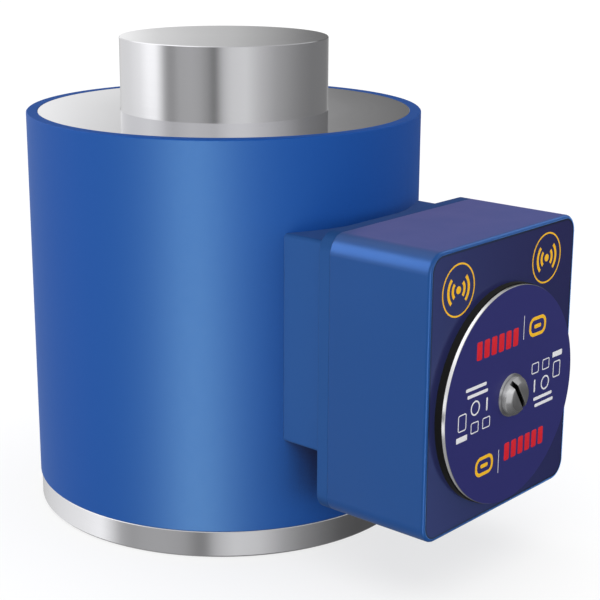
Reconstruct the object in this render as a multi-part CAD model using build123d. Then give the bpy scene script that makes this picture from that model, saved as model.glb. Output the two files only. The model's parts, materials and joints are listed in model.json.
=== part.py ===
from build123d import *
import os
from math import cos, hypot, radians, sin, sqrt

# Compression load cell with a battery-powered radio housing, in millimetres.
# The origin is the centre of the base's underside, +Z is up and the housing faces -Y.
# A distance "out" is measured from the column's axis towards the housing, along -Y.

# Clearances
fit_gap = 0.05            # between a screw, seal or insert and its hole
slide_gap = 0.1           # radial, round the parts of the cap that move
face_gap = 0.05           # between the flat faces of two bodies
hole_spare = 1.0          # a blind hole runs this far past its screw

# Load element: base flange, gauge column and load button in one turned piece
base_step = 0.5           # base inside the sleeve's outer face
base_height = 10.8
base_edge = 0.8
register_height = 9.0     # spigot that centres the sleeve
shoulder_step = 8.0       # shoulder inside the sleeve's collar
shoulder_top = 40.0
shoulder_width = 24.0
column_fillet = 10.0
upper_gap = 12.2          # between the upper flange and the sleeve's ledge
upper_thickness = 21.6
cover_float = 0.8         # gap that keeps the cover off the loaded column
button_radius = 42.2
button_rise = 29.0        # button above the sleeve's rim
button_edge = 0.3
flat_depth = 1.5          # gauge flats ground into the column
flat_height = 40.0

# Outer sleeve
body_radius = 80.0
body_top = 163.0
sleeve_wall = 4.6
rim_chamfer = 0.4
sleeve_edge = 0.4
collar_width = 12.0       # thick lower end that takes the base screws
collar_height = 12.0
base_screw_inset = 6.8    # screw circle inside the sleeve's outer face
ledge_width = 10.0        # inner ledge under the cover ring
ledge_thickness = 5.0

# Cover ring
cover_recess = 0.1        # below the sleeve's rim
cover_thickness = 8.0
cover_edge = 0.15
button_gap = 0.15
seal_depth = 2.4
seal_width = 3.4

# Screws: shank radius, head radius, head height
base_screw = (2.5, 4.25, 5.0)
cover_screw = (2.0, 3.5, 4.0)
block_screw = (2.5, 4.4, 3.4)
plate_screw = (2.5, 4.25, 5.0)
housing_screw = (2.0, 4.0, 2.2)
board_screw = (1.25, 2.3, 1.5)
base_screw_count = 6
cover_screw_count = 6
cover_screw_start = 30.0  # degrees, the first cover screw
base_screw_length = 16.0
cover_screw_length = 10.5
block_screw_length = 16.0
plate_screw_length = 9.0
housing_screw_length = 16.0
board_screw_length = 5.2
junction_screw_length = 12.0
head_gap = 0.45           # between a sunk head and its counterbore
head_recess = 0.5         # base screw heads stay this far inside the underside

# Strain gauges and their junction board
gauge_width = 11.0
gauge_length = 18.0
gauge_thickness = 0.3
junction_inset = 1.0      # board inside the shoulder's edge
junction_width = 12.0
board_thickness = 1.6
spacer_radius = 2.6
spacer_height = 4.0
spacer_count = 3
spacer_start = 45.0       # degrees, the first spacer
lead_radius = 0.7
lead_inset = 2.5          # from the board's inner edge
lead_drop = 6.0
lead_bend = 1.5
plug_size = 4.0
plug_width = 9.0

# Signal cable from the junction board to the radio board
cable_radius = 2.0
cable_inset = 3.0         # from the junction board's outer edge
cable_clearance = 7.0     # cable's axis above the battery well
cable_bend = 16.0
cable_end_bend = 5.5
cable_room = 10.6         # in front of the back plate, where the cable turns to its plug
plug_offset = 12.0
bush_radius = 5.5
bush_length = 12.0

# Mounting block
block_inset = 5.4         # block inside the plate's sides
block_foot = 20.8         # above the plate's lower edge
block_head = 4.3          # below the plate's upper edge
block_corner = 1.5
block_lower_corner = 1.0
block_thickness = 10.4    # in front of the sleeve
block_screw_side = 12.7   # from the block's sides
block_screw_end = 10.5    # from its upper and lower edges
block_screw_sink = 1.9    # heads sunk into the sleeve's bore
plate_screw_step = 8.0    # plate screws nearer the middle than the block screws
plate_screw_grip = 5.0    # of the block under their heads

# Back plate and radio housing
cap_side_margin = 5.22    # housing beside the cap
cap_lower_margin = 5.3
cap_upper_margin = 19.0   # the antennas are up here
housing_corner = 7.2
plate_thickness = 5.0
housing_wall = 3.5
front_wall = 3.5
front_fillet = 1.1
gasket_inset = 0.9
gasket_width = 1.8
gasket_depth = 1.0
pillar_radius = 4.5       # corner pillars for the housing screws
pillar_inset = 7.6
rib_thickness = 2.0
overlay_inset = 1.3
overlay_thickness = 0.25

# Battery well and cap
cap_height = 72.4         # height of the cap's axis
well_margin = 2.31        # round the corners of the cells
well_wall = 3.0
well_room = 8.8           # behind the well's floor
well_headroom = 4.4       # from the cells to the housing's front
well_floor = 2.0
mouth_chamfer = 0.5
cap_lip = 4.9             # cap wider than the well
cap_flange = 2.2
cap_rise = 4.1            # cap's face in front of the housing
cap_edge = 0.15
spigot_reach = 2.0
cap_web = 3.6
cap_skirt = 3.0
cap_boss = 9.5
gasket_step = 0.6         # gasket inside the cap's edge
label_thickness = 0.2
label_margin = 0.15

# Cap screw, its pillar and its washer
screw_radius = 4.0
screw_engagement = 8.0    # thread that has to be undone
screw_head_radius = 7.3
screw_head_side = 1.7
screw_head_height = 3.4
screw_face_radius = 5.4
slot_width = 2.0
slot_depth = 1.9
slot_angle = -57.0        # degrees, seen from the front
washer_radius = 8.0
washer_thickness = 0.9
seal_seat_radius = 5.9
seal_seat_depth = 1.75
ring_radius = 6.2
ring_thickness = 0.9
ring_groove = 3.3
ring_room = 0.25
stem_radius = 6.0
stem_drop = 3.7           # pillar's end behind the housing's front
thread_spare = 6.0
stud_radius = 3.0
nut_flats = 10.0
nut_height = 4.0

# Batteries and their carrier
cell_radius = 7.25
cell_length = 50.5
nub_radius = 2.75
nub_length = 1.0
cell_gap = 0.1
carrier_wall = 1.2
carrier_floor = 1.5
carrier_gap = 0.4
contact_thickness = 0.5
contact_width = 11.0
contact_split = 0.5
carrier_relief = 1.0      # inner walls end short of the contacts
pin_radius = 0.6

# Radio board and what is on it
board_room = 4.0          # between the back plate and the board's front
board_gap = 1.0           # beside the corner pillars and round the cable
board_inset = 8.0         # inside the housing's upper and lower edges
board_corner = 2.0
boss_radius = 2.6
boss_share = 2 / 3        # of the well's radius
module_size = (18.0, 14.0, 2.6)
module_x = -20.0
module_drop = 8.0         # below the board's upper edge
antenna_size = 8.0
antenna_thickness = 1.0
antenna_left_side = 16.6  # from the housing's left side
antenna_right_side = 21.8
antenna_drop = 5.4        # below the board's upper edge
antenna_lead_radius = 0.7
antenna_lead_bend = 3.0
antenna_lead_reach = 17.0
antenna_lead_slant = 4.0

# Places worked out from the sizes above: sleeve, cover ring and load element
sleeve_bore = body_radius - sleeve_wall
collar_bore = body_radius - collar_width
register_radius = collar_bore - slide_gap
ledge_bore = sleeve_bore - ledge_width
base_radius = body_radius - base_step
shoulder_radius = collar_bore - shoulder_step
column_radius = shoulder_radius - shoulder_width
upper_radius = ledge_bore - upper_gap
element_height = body_top + button_rise
cover_top = body_top - cover_recess
cover_bottom = cover_top - cover_thickness
ledge_bottom = cover_bottom - ledge_thickness
column_top = cover_bottom - cover_float - upper_thickness
cover_bore = button_radius + button_gap
cover_outer = sleeve_bore - fit_gap
base_screw_circle = body_radius - base_screw_inset
cover_screw_circle = (ledge_bore + sleeve_bore) / 2
gauge_height = (shoulder_top + column_top) / 2
flat_distance = column_radius - flat_depth
junction_outer = shoulder_radius - junction_inset
junction_inner = junction_outer - junction_width
junction_top = shoulder_top + spacer_height + board_thickness
spacer_circle = (junction_inner + junction_outer) / 2
lead_circle = junction_inner + lead_inset
cable_circle = junction_outer - cable_inset

# Places of the cells, and of the well and cap that take them
cell_x = stem_radius + carrier_gap + carrier_wall + 2 * cell_gap + cell_radius
well_radius = hypot(cell_x + cell_radius, cell_length / 2) + well_margin
well_outer = well_radius + well_wall
cap_radius = well_radius + cap_lip
gasket_radius = cap_radius - gasket_step
carrier_end = cell_length / 2 + contact_thickness + 2 * fit_gap

# Places of the block, plate and housing
block_out = body_radius + block_thickness
plate_out = block_out + plate_thickness
well_floor_out = plate_out + well_room
first_cell_out = well_floor_out + carrier_floor + cell_gap + cell_radius
cell_outs = [first_cell_out, first_cell_out + 2 * cell_radius + cell_gap]
carrier_top_out = cell_outs[1] + cell_radius
front_out = carrier_top_out + well_headroom
seat_out = front_out - overlay_thickness
housing_width = 2 * (cap_radius + cap_side_margin)
housing_bottom = cap_height - cap_radius - cap_lower_margin
housing_top = cap_height + cap_radius + cap_upper_margin
housing_height = housing_top - housing_bottom
housing_middle = (housing_top + housing_bottom) / 2
block_width = housing_width - 2 * block_inset
block_bottom = housing_bottom + block_foot
block_top = housing_top - block_head
block_middle = (block_top + block_bottom) / 2
block_screw_x = block_width / 2 - block_screw_side
block_screw_rise = (block_top - block_bottom) / 2 - block_screw_end
block_screw_seat = sqrt(sleeve_bore ** 2 - block_screw_x ** 2) + block_screw_sink
plate_screw_x = block_screw_x - plate_screw_step
plate_screw_rise = block_screw_rise - plate_screw_step
plate_screw_seat = block_out - plate_screw_grip
cable_height = cap_height + well_outer + cable_clearance
cable_turn_out = plate_out + cable_room

# Places of the cap, its screw and the radio board
cap_face_out = front_out + cap_rise
spigot_end_out = front_out - spigot_reach
flange_back_out = cap_face_out - cap_flange
washer_out = cap_face_out + washer_thickness
head_out = washer_out + face_gap
stem_top_out = front_out - stem_drop
screw_tip_out = stem_top_out - screw_engagement
ring_front_out = spigot_end_out + ring_thickness + ring_room
board_front_out = plate_out + board_room
board_back_out = board_front_out - board_thickness
board_width = housing_width - 2 * (pillar_inset + pillar_radius + board_gap)
board_bottom = housing_bottom + board_inset
board_top = housing_top - board_inset
boss_offset = well_radius * boss_share
module_place = (module_x, board_top - module_drop)
antenna_height = board_top - antenna_drop
antenna_left = antenna_left_side - housing_width / 2
antenna_right = housing_width / 2 - antenna_right_side

BASE = (Align.CENTER, Align.CENTER, Align.MIN)
TOP = (Align.CENTER, Align.CENTER, Align.MAX)


def keep(name, shape):
    """Write one named piece."""
    export_step(shape, f"parts/{name}.step")


def together(solids):
    """Separate like pieces that share one name."""
    return Compound(children=[s for solid in solids for s in solid.solids()])


def turned(*points):
    """Piece turned about the column's axis from its half section, given as radius and height."""
    return revolve(make_face(Plane.XZ * Polyline(*points, close=True)), Axis.Z)


def tube(inner, outer, low, high):
    """Upright ring about the column's axis."""
    return turned((inner, low), (outer, low), (outer, high), (inner, high))


def seal(inner_wall, outer_wall, height):
    """O-ring that fills the gap between two round walls."""
    cord = (outer_wall - inner_wall) / 2 - fit_gap
    return Pos(0, 0, height) * Torus((inner_wall + outer_wall) / 2, cord)


def out_plane(out, x=0.0, z=0.0):
    """Plane that faces away from the column, its second axis pointing up."""
    return Plane(origin=(x, -out, z), x_dir=(1, 0, 0), z_dir=(0, -1, 0))


def bar(radius, start, end, x=0.0, z=0.0):
    """Round bar from one distance out to another."""
    return out_plane(start, x, z) * Cylinder(radius, end - start, align=BASE)


def slab(sketch, start, end, x=0.0, z=0.0):
    """Flat outline carried from one distance out to another."""
    return out_plane(start, x, z) * extrude(sketch, end - start)


def block_at(width, height, start, end, x, z):
    """Rectangular piece between two distances out."""
    return slab(Rectangle(width, height), start, end, x, z)


def headed_screw(size, length):
    """Cheese head screw: the head lies below the origin and the shank runs up from it."""
    shank, head, head_height = size
    return Cylinder(shank, length, align=BASE) + Cylinder(head, head_height, align=TOP)


def ring_of(count, radius, start=0.0):
    """Places on a circle about the column's axis, unturned."""
    turns = [radians(start + 360 / count * i) for i in range(count)]
    return [(radius * cos(t), radius * sin(t)) for t in turns]


def corners(x, rise, middle):
    """Four places, left and right, below and above a middle height."""
    return [(sx * x, middle + sz * rise) for sx in (-1, 1) for sz in (-1, 1)]


def wire(radius, points, bend):
    """Lead or cable of one thickness along straight runs joined by tangent arcs."""
    route = FilletPolyline(*points, radius=bend)
    return sweep(Plane(origin=route @ 0, z_dir=route % 0) * Circle(radius), path=route)


def load_element():
    """One turned steel piece with ground gauge flats and holes for the sleeve's screws."""
    register_top = base_height + register_height
    body = turned(
        (0, 0), (base_radius - base_edge, 0), (base_radius, base_edge),
        (base_radius, base_height - sleeve_edge), (base_radius - sleeve_edge, base_height),
        (register_radius, base_height), (register_radius, register_top),
        (shoulder_radius, register_top), (shoulder_radius, shoulder_top),
        (column_radius, shoulder_top), (column_radius, column_top),
        (upper_radius, column_top), (upper_radius, cover_bottom - cover_float),
        (button_radius, cover_bottom - cover_float),
        (button_radius, element_height - button_edge),
        (button_radius - button_edge, element_height), (0, element_height),
    )
    roots = [e for e in body.edges().filter_by(GeomType.CIRCLE) if abs(e.radius - column_radius) < 0.01]
    body = fillet(roots, column_fillet)
    pocket = column_radius
    for side in range(4):
        cut = Pos(flat_distance + pocket / 2, 0, gauge_height) * Box(pocket, 2 * pocket, flat_height)
        body -= Rot(0, 0, 90 * side) * cut
    groove = base_height + register_height / 2
    body -= tube(register_radius - seal_depth, base_radius, groove - seal_width / 2, groove + seal_width / 2)
    shank, head, head_height = base_screw
    for x, y in ring_of(base_screw_count, base_screw_circle):
        body -= Pos(x, y, 0) * Cylinder(shank + fit_gap, base_height, align=BASE)
        body -= Pos(x, y, 0) * Cylinder(head + head_gap, head_height + head_recess, align=BASE)
    for x, y in ring_of(spacer_count, spacer_circle, spacer_start):
        tapped = Cylinder(board_screw[0] + fit_gap, junction_screw_length, align=TOP)
        body -= Pos(x, y, shoulder_top) * tapped
    return body


def outer_sleeve():
    """Tube with a thick lower end, an inner ledge near the top and holes for screws and cable."""
    body = turned(
        (collar_bore, base_height), (body_radius - sleeve_edge, base_height),
        (body_radius, base_height + sleeve_edge), (body_radius, body_top - rim_chamfer),
        (body_radius - rim_chamfer, body_top), (sleeve_bore + cover_edge, body_top),
        (sleeve_bore, body_top - cover_edge), (sleeve_bore, cover_bottom),
        (ledge_bore, cover_bottom), (ledge_bore, ledge_bottom), (sleeve_bore, ledge_bottom),
        (sleeve_bore, base_height + collar_height), (collar_bore, base_height + collar_height),
    )
    depth = base_screw_length - (base_height - base_screw[2] - head_recess) + hole_spare
    for x, y in ring_of(base_screw_count, base_screw_circle):
        body -= Pos(x, y, base_height) * Cylinder(base_screw[0] + fit_gap, depth, align=BASE)
    for x, y in ring_of(cover_screw_count, cover_screw_circle, cover_screw_start):
        hole = Cylinder(cover_screw[0] + fit_gap, ledge_thickness, align=BASE)
        body -= Pos(x, y, ledge_bottom) * hole
    for x, z in corners(block_screw_x, block_screw_rise, block_middle):
        body -= bar(block_screw[0] + fit_gap, 0, block_out, x, z)
        body -= bar(block_screw[1] + head_gap, 0, block_screw_seat, x, z)
    return body - bar(bush_radius + fit_gap, 0, block_out, 0, cable_height)


def cover_ring():
    """Floating steel ring round the button, with a seal groove at each edge and blind screw holes."""
    low, high = cover_bottom, cover_top
    middle = (low + high) / 2
    body = turned(
        (cover_bore, low), (cover_outer, low), (cover_outer, high - cover_edge),
        (cover_outer - cover_edge, high), (cover_bore + cover_edge, high), (cover_bore, high - cover_edge),
    )
    for inner, outer in ((0, cover_bore + seal_depth), (cover_outer - seal_depth, body_radius)):
        body -= tube(inner, outer, middle - seal_width / 2, middle + seal_width / 2)
    depth = cover_screw_length - ledge_thickness + fit_gap
    for x, y in ring_of(cover_screw_count, cover_screw_circle, cover_screw_start):
        body -= Pos(x, y, low) * Cylinder(cover_screw[0] + fit_gap, depth, align=BASE)
    return body


def gauge_pieces():
    """Foil gauges on the four flats and the leads that run down to the junction board."""
    gauges = []
    leads = []
    face = flat_distance + gauge_thickness
    low = gauge_height - gauge_length / 2
    step_out = column_radius + 2 * lead_radius
    for side in range(4):
        foil = Box(gauge_thickness, gauge_width, gauge_length)
        gauges.append(Rot(0, 0, 90 * side) * Pos(flat_distance + gauge_thickness / 2, 0, gauge_height) * foil)
        route = [
            (face + lead_radius, 0, low + 4 * lead_radius), (face + lead_radius, 0, low - 2 * lead_radius),
            (step_out, 0, shoulder_top + 2 * column_fillet), (lead_circle, 0, junction_top + lead_drop),
            (lead_circle, 0, junction_top),
        ]
        leads.append(Rot(0, 0, 90 * side) * wire(lead_radius, route, lead_bend))
    return together(gauges), together(leads)


def junction_pieces():
    """Ring board on spacers over the shoulder, its screws and the plug of the signal cable."""
    low = shoulder_top + spacer_height
    board = tube(junction_inner, junction_outer, low, junction_top)
    spacers = []
    screws = []
    hole = board_screw[0] + fit_gap
    for x, y in ring_of(spacer_count, spacer_circle, spacer_start):
        board -= Pos(x, y, low) * Cylinder(hole, board_thickness, align=BASE)
        spacers.append(Pos(x, y, shoulder_top) * (Cylinder(spacer_radius, spacer_height, align=BASE)
                                                  - Cylinder(hole, spacer_height, align=BASE)))
        screw = headed_screw(board_screw, junction_screw_length)
        screws.append(Pos(x, y, junction_top) * Rot(180, 0, 0) * screw)
    plug = Pos(0, -cable_circle, junction_top) * Box(plug_width, plug_size, plug_size, align=BASE)
    return board, together(spacers), together(screws), plug


def mounting_block():
    """Block that is flat in front and hollowed behind to sit on the sleeve."""
    outline = Rectangle(block_width, block_top - block_bottom)
    outline = fillet(outline.vertices().group_by(Axis.Y)[-1], block_corner)
    outline = fillet(outline.vertices().group_by(Axis.Y)[0], block_lower_corner)
    body = slab(outline, body_radius / 2, block_out, 0, block_middle)
    body -= Cylinder(body_radius + fit_gap, 2 * element_height)
    for x, z in corners(block_screw_x, block_screw_rise, block_middle):
        body -= bar(block_screw[0] + fit_gap, 0, block_screw_seat + block_screw_length + hole_spare, x, z)
    for x, z in corners(plate_screw_x, plate_screw_rise, block_middle):
        body -= bar(plate_screw[0] + fit_gap, 0, block_out, x, z)
        body -= bar(plate_screw[1] + head_gap, 0, plate_screw_seat, x, z)
    return body - bar(bush_radius + fit_gap, 0, block_out, 0, cable_height)


def housing_outline(inset=0.0):
    """Rounded outline that the plate, housing, gasket and overlay share."""
    return RectangleRounded(housing_width - 2 * inset, housing_height - 2 * inset, housing_corner - inset)


pillar_places = corners(housing_width / 2 - pillar_inset, housing_height / 2 - pillar_inset, housing_middle)
boss_places = corners(boss_offset, boss_offset, cap_height)


def countersunk(shank, head, head_height, length):
    """Countersunk form with its flat end at the origin, running up."""
    return Cylinder(shank, length, align=BASE) + Cone(head, shank, head_height, align=BASE)


def back_plate():
    """Plate between block and housing, with countersunk holes behind and a gasket groove in front."""
    body = slab(housing_outline(), block_out, plate_out, 0, housing_middle)
    shank, head, head_height = housing_screw
    sink = countersunk(shank + fit_gap, head + fit_gap, head_height, plate_thickness)
    for x, z in pillar_places:
        body -= out_plane(block_out, x, z) * sink
    for x, z in corners(plate_screw_x, plate_screw_rise, block_middle):
        body -= bar(plate_screw[0] + fit_gap, block_out, plate_out, x, z)
    groove = housing_outline(gasket_inset) - housing_outline(gasket_inset + gasket_width)
    body -= slab(groove, plate_out - gasket_depth, plate_out, 0, housing_middle)
    return body - bar(cable_radius + slide_gap, block_out, plate_out, 0, cable_height)


def housing_body():
    """Moulded housing: open behind, with a round battery well, screw pillars, bosses and ribs."""
    outer = slab(housing_outline(), plate_out, front_out, 0, housing_middle)
    outer = fillet(outer.faces().sort_by(Axis.Y)[0].edges(), front_fillet)
    cavity = slab(housing_outline(housing_wall), plate_out, front_out - front_wall, 0, housing_middle)
    inside = bar(well_outer, well_floor_out - well_floor, front_out, 0, cap_height)
    for x, z in pillar_places:
        inside += bar(pillar_radius, plate_out, front_out, x, z)
    for x, z in boss_places:
        inside += bar(boss_radius, board_front_out, well_floor_out, x, z)
    inside += block_at(housing_width, rib_thickness, well_floor_out, front_out, 0, cap_height)
    low_rib = cap_height - housing_bottom
    inside += block_at(rib_thickness, low_rib, well_floor_out, front_out, 0, cap_height - low_rib / 2)
    body = (outer - cavity) + (inside & outer)
    body -= bar(well_radius, well_floor_out, front_out, 0, cap_height)
    mouth = Cone(well_radius, well_radius + mouth_chamfer, mouth_chamfer, align=BASE)
    body -= out_plane(seat_out - mouth_chamfer, 0, cap_height) * mouth
    recess = slab(housing_outline(overlay_inset), seat_out, front_out, 0, housing_middle)
    body -= recess
    shank_hole = housing_screw[0] + fit_gap
    for x, z in pillar_places:
        body -= bar(shank_hole, plate_out, block_out + housing_screw_length + hole_spare, x, z)
    for x, z in boss_places:
        body -= bar(board_screw[0] + fit_gap, 0, board_back_out + board_screw_length + fit_gap, x, z)
    body -= bar(stud_radius + fit_gap, 0, well_floor_out, 0, cap_height)
    for x, z in pin_places():
        body -= bar(pin_radius + fit_gap, 0, well_floor_out, x, z)
    return body


def pin_places():
    """Where the two battery terminals pass through the well's floor."""
    below = cap_height - cell_length / 2 - contact_thickness / 2 - fit_gap
    return [(side * cell_x, below) for side in (-1, 1)]


def main_board():
    """Radio board behind the well, with holes for the nut, cable, screws and terminals."""
    middle = (board_top + board_bottom) / 2
    outline = RectangleRounded(board_width, board_top - board_bottom, board_corner)
    body = slab(outline, board_back_out, board_front_out, 0, middle)
    holes = [(nut_flats * 0.65, 0, cap_height), (cable_radius + board_gap, 0, cable_height)]
    holes += [(board_screw[0] + fit_gap, x, z) for x, z in boss_places]
    holes += [(pin_radius + fit_gap, x, z) for x, z in pin_places()]
    for radius, x, z in holes:
        body -= bar(radius, board_back_out, board_front_out, x, z)
    return body


def cap_pillar():
    """Threaded pillar that the cap screw pulls on; its stud goes through the well's floor."""
    body = bar(stem_radius, well_floor_out, stem_top_out, 0, cap_height)
    body += bar(stud_radius, well_floor_out - well_floor - nut_height, well_floor_out, 0, cap_height)
    depth = screw_engagement + thread_spare
    body -= bar(screw_radius + slide_gap, stem_top_out - depth, stem_top_out, 0, cap_height)
    return body


def pillar_nut():
    """Hexagon nut behind the well's floor."""
    hexagon = RegularPolygon(nut_flats / 2, 6, major_radius=False)
    end = well_floor_out - well_floor
    return slab(hexagon - Circle(stud_radius + fit_gap), end - nut_height, end, 0, cap_height)


def battery_carrier():
    """Moulded tray for four cells, two on each side of the pillar, two deep."""
    floor_top = well_floor_out + carrier_floor
    body = bar(well_radius - carrier_gap, well_floor_out, floor_top, 0, cap_height)
    walls = None
    far = cell_x + cell_radius + cell_gap + carrier_wall / 2
    near = cell_x - cell_radius - cell_gap - carrier_wall / 2
    for side in (-1, 1):
        for x in (near, far):
            length = cell_length - 2 * carrier_relief if x == near else 2 * (carrier_end + carrier_wall)
            wall = block_at(carrier_wall, length, floor_top, carrier_top_out, side * x, cap_height)
            walls = wall if walls is None else walls + wall
        end_z = cap_height + side * (carrier_end + carrier_wall / 2)
        walls += block_at(2 * far + carrier_wall, carrier_wall, floor_top, carrier_top_out, 0, end_z)
    body += walls & bar(well_radius - carrier_gap, well_floor_out, front_out, 0, cap_height)
    body -= bar(stem_radius + carrier_gap, well_floor_out, front_out, 0, cap_height)
    for x, z in pin_places():
        body -= bar(pin_radius + fit_gap, well_floor_out, floor_top, x, z)
    return body


def battery_cell(side, layer, way):
    """Round cell lying upright in the carrier, its nub up or down."""
    body = Cylinder(cell_radius, cell_length - nub_length, align=BASE)
    body += Pos(0, 0, cell_length - nub_length) * Cylinder(nub_radius, nub_length, align=BASE)
    turn = Rot(0, 0, 0) if way > 0 else Rot(180, 0, 0)
    return Pos(side * cell_x, -cell_outs[layer], cap_height - way * cell_length / 2) * turn * body


def contacts():
    """Spring-steel contact strips at the ends of the cells."""
    low = well_floor_out + carrier_floor
    high = carrier_top_out - fit_gap
    middle = (low + high) / 2
    end = cell_length / 2 + contact_thickness / 2 + fit_gap
    top = cap_height + end
    bottom = cap_height - end
    strip = contact_width
    bridges = [block_at(strip, contact_thickness, low, high, side * cell_x, top) for side in (-1, 1)]
    cross = block_at(2 * cell_x + strip, contact_thickness, middle + contact_split, high, 0, bottom)
    terminals = []
    for x, z in pin_places():
        leaf = block_at(strip, contact_thickness, low, middle - contact_split, x, bottom)
        terminals.append(leaf + bar(pin_radius, board_back_out, low, x, z))
    return together(bridges), cross, together(terminals)


def antenna_pieces(x, start):
    """Antenna tile on the inside of the front wall and its coaxial lead."""
    wall = front_out - front_wall
    tile = block_at(antenna_size, antenna_size, wall - antenna_thickness, wall, x, antenna_height)
    first = board_front_out + module_size[2]
    last = first + antenna_lead_reach
    route = [
        (start, -first, module_place[1]), (start, -last, module_place[1]),
        (x, -last - antenna_lead_slant, antenna_height), (x, antenna_thickness - wall, antenna_height),
    ]
    return tile, wire(antenna_lead_radius, route, antenna_lead_bend)


def battery_cap():
    """Turned cap: thin flange over the front, spigot in the well and a boss for the screw."""
    body = bar(cap_radius, flange_back_out, cap_face_out, 0, cap_height)
    body = chamfer(body.edges(), cap_edge)
    spigot = well_radius - 2 * slide_gap
    body += bar(spigot, spigot_end_out, flange_back_out, 0, cap_height)
    pocket = bar(spigot - cap_skirt, spigot_end_out, cap_face_out - cap_web, 0, cap_height)
    body -= pocket - bar(cap_boss, spigot_end_out, cap_face_out, 0, cap_height)
    body -= bar(screw_radius + slide_gap, spigot_end_out, cap_face_out, 0, cap_height)
    body -= bar(ring_radius + 2 * slide_gap, spigot_end_out, ring_front_out + ring_room, 0, cap_height)
    body -= bar(seal_seat_radius, cap_face_out - seal_seat_depth, cap_face_out, 0, cap_height)
    return body


def cap_screw():
    """Captive screw with a coin slot, a tapered head and a groove for its retaining ring."""
    body = bar(screw_radius, screw_tip_out, head_out, 0, cap_height)
    body += bar(screw_head_radius, head_out, head_out + screw_head_side, 0, cap_height)
    taper_height = screw_head_height - screw_head_side
    taper = Cone(screw_head_radius, screw_face_radius, taper_height, align=BASE)
    body += out_plane(head_out + screw_head_side, 0, cap_height) * taper
    groove_low = ring_front_out - ring_thickness - fit_gap
    groove_high = ring_front_out + fit_gap
    around = Circle(screw_radius + 1.0) - Circle(ring_groove)
    body -= slab(around, groove_low, groove_high, 0, cap_height)
    slot = Rot(0, 0, slot_angle) * Box(3 * screw_head_radius, slot_width, slot_depth, align=TOP)
    return body - out_plane(head_out + screw_head_height, 0, cap_height) * slot


def screw_seal():
    """Small O-ring under the washer, round the cap screw."""
    cord = (seal_seat_radius - screw_radius) / 2 - 2 * fit_gap
    middle = (seal_seat_radius + screw_radius) / 2
    return out_plane(cap_face_out - seal_seat_depth + cord, 0, cap_height) * Torus(middle, cord)


os.makedirs("parts", exist_ok=True)

keep("load_element", load_element())
keep("outer_sleeve", outer_sleeve())
keep("cover_ring", cover_ring())
cover_middle = (cover_bottom + cover_top) / 2
keep("base_oring", seal(register_radius - seal_depth, collar_bore, base_height + register_height / 2))
keep("cover_inner_oring", seal(button_radius, cover_bore + seal_depth, cover_middle))
keep("cover_outer_oring", seal(cover_outer - seal_depth, sleeve_bore, cover_middle))

screw_seat = base_screw[2] + head_recess
base_screws = [Pos(x, y, screw_seat) * headed_screw(base_screw, base_screw_length)
               for x, y in ring_of(base_screw_count, base_screw_circle)]
cover_screws = [Pos(x, y, ledge_bottom) * headed_screw(cover_screw, cover_screw_length)
                for x, y in ring_of(cover_screw_count, cover_screw_circle, cover_screw_start)]
keep("base_screws", together(base_screws))
keep("cover_screws", together(cover_screws))

gauges, gauge_leads = gauge_pieces()
keep("strain_gauges", gauges)
keep("gauge_leads", gauge_leads)
junction_board, board_spacers, junction_screws, junction_plug = junction_pieces()
keep("junction_board", junction_board)
keep("board_spacers", board_spacers)
keep("junction_screws", junction_screws)
keep("junction_plug", junction_plug)

cable_start = junction_top + plug_size
cable_route = [
    (0, -cable_circle, cable_start), (0, -cable_circle, cable_height),
    (0, -cable_turn_out, cable_height), (plug_offset, -cable_turn_out, cable_height),
]
keep("signal_cable", wire(cable_radius, cable_route, [cable_bend, cable_end_bend]))
bush = bar(bush_radius, body_radius - bush_length / 2, body_radius + bush_length / 2, 0, cable_height)
keep("cable_bush", bush - bar(cable_radius + fit_gap, 0, block_out, 0, cable_height))

keep("mounting_block", mounting_block())
keep("block_screws", together([
    out_plane(block_screw_seat, x, z) * headed_screw(block_screw, block_screw_length)
    for x, z in corners(block_screw_x, block_screw_rise, block_middle)]))
keep("plate_screws", together([
    out_plane(plate_screw_seat, x, z) * headed_screw(plate_screw, plate_screw_length)
    for x, z in corners(plate_screw_x, plate_screw_rise, block_middle)]))
keep("back_plate", back_plate())
gasket_ring = housing_outline(gasket_inset + fit_gap) - housing_outline(gasket_inset + gasket_width - fit_gap)
keep("housing_gasket", slab(gasket_ring, plate_out - gasket_depth, plate_out, 0, housing_middle))
housing_screws = [out_plane(block_out, x, z) * countersunk(*housing_screw, housing_screw_length)
                  for x, z in pillar_places]
keep("housing_screws", together(housing_screws))
keep("housing_body", housing_body())

keep("main_board", main_board())
keep("board_screws", together([
    out_plane(board_back_out, x, z) * headed_screw(board_screw, board_screw_length)
    for x, z in boss_places]))
module_width, module_height, module_rise = module_size
module_front_out = board_front_out + module_rise
module = block_at(module_width, module_height, board_front_out, module_front_out, *module_place)
keep("radio_module", module)
plug_middle = plug_offset + plug_width / 2
plug_front_out = cable_turn_out + cable_radius + board_gap
board_plug = block_at(plug_width, 2 * plug_size, board_front_out, plug_front_out, plug_middle, cable_height)
keep("board_plug", board_plug)
for number, (side, place) in enumerate([("left", antenna_left), ("right", antenna_right)]):
    start_x = module_place[0] + (number - 0.5) * module_size[0] / 2
    tile, lead = antenna_pieces(place, start_x)
    keep(f"antenna_{side}", tile)
    keep(f"antenna_lead_{side}", lead)

keep("cap_pillar", cap_pillar())
keep("pillar_nut", pillar_nut())
keep("battery_carrier", battery_carrier())
for number, (side, layer) in enumerate([(-1, 0), (-1, 1), (1, 0), (1, 1)]):
    keep(f"battery_cell_{number + 1}", battery_cell(side, layer, (1, -1, -1, 1)[number]))
bridges, cross, terminals = contacts()
keep("contact_bridges", bridges)
keep("cross_contact", cross)
keep("terminal_contacts", terminals)

film = housing_outline(overlay_inset + fit_gap)
film -= Pos(0, cap_height - housing_middle) * Circle(gasket_radius + label_margin)
keep("front_overlay", slab(film, seat_out, front_out, 0, housing_middle))

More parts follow.
